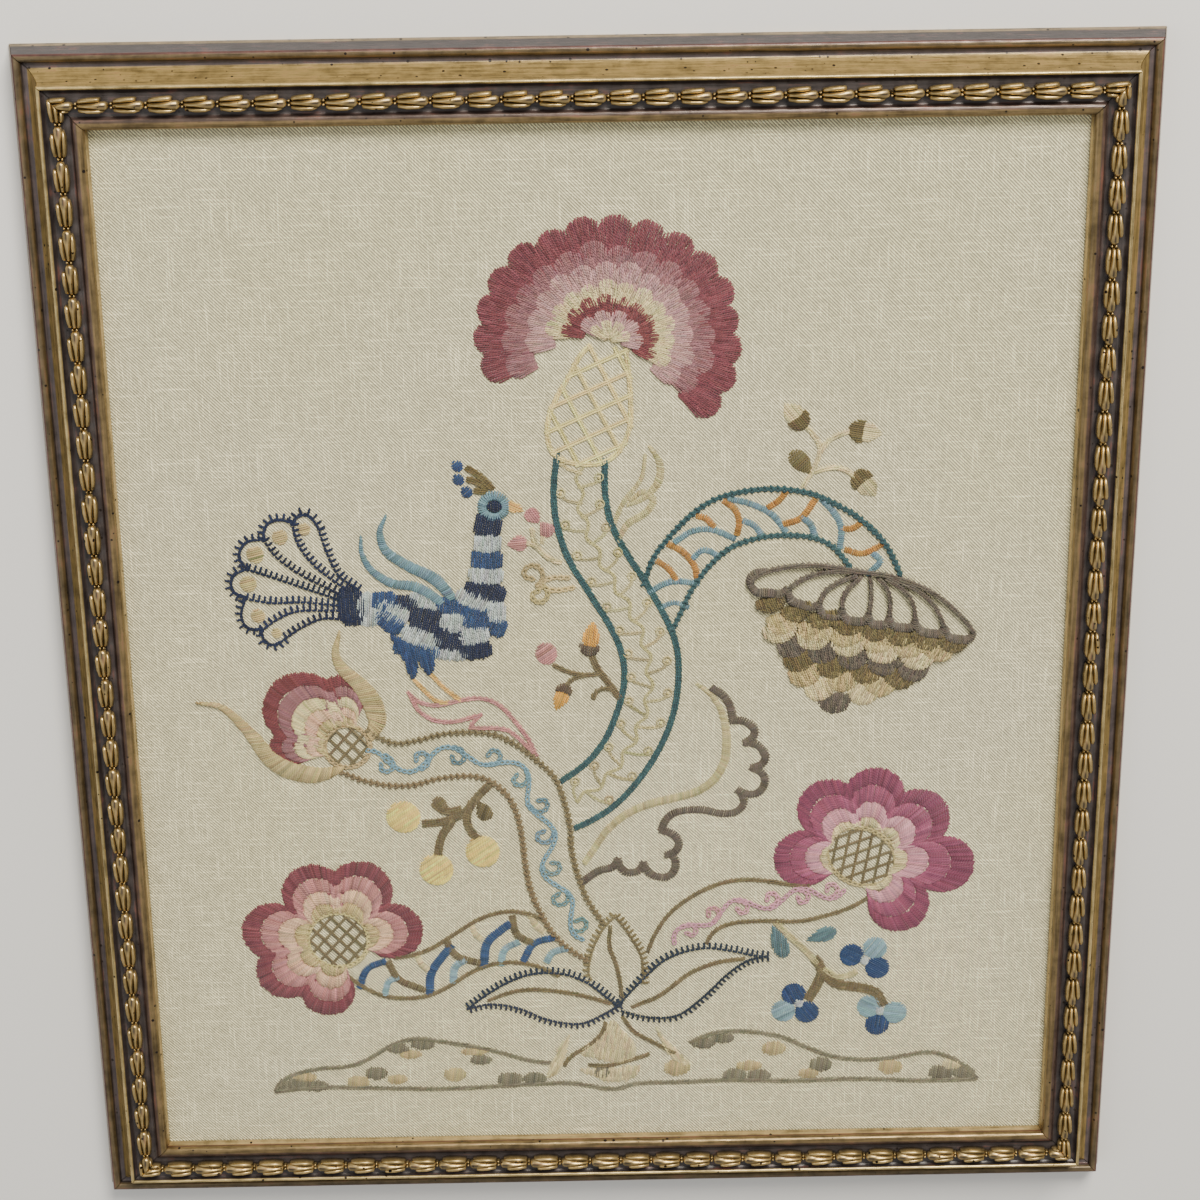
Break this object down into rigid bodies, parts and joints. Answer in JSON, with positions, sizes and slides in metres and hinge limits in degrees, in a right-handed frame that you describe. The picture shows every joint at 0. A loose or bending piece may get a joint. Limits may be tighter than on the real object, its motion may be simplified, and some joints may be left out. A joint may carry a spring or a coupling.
{
  "type": "framed crewel embroidery panel",
  "caption": "Crewel wool tree of life with flowers and a peacock on a stretched linen ground, in a mitred gilt moulding with a pressed bud ornament.",
  "frame": {"origin": "middle of the moulding's back plane", "axes": "+Z out of the picture's face, +Y towards the top of the picture, +X to its right"},
  "size_m": [0.495, 0.563, 0.0299],
  "materials": {
    "gilt_moulding": "toned metal leaf over wood, satin, dark in the recesses",
    "linen_cloth": "natural linen worked in matte crewel wool"
  },
  "bodies": {
    "root": {"rail_top": "gilt_moulding", "rail_right": "gilt_moulding", "rail_bottom": "gilt_moulding", "rail_left": "gilt_moulding", "linen_ground": "linen_cloth"}
  },
  "joints": []
}
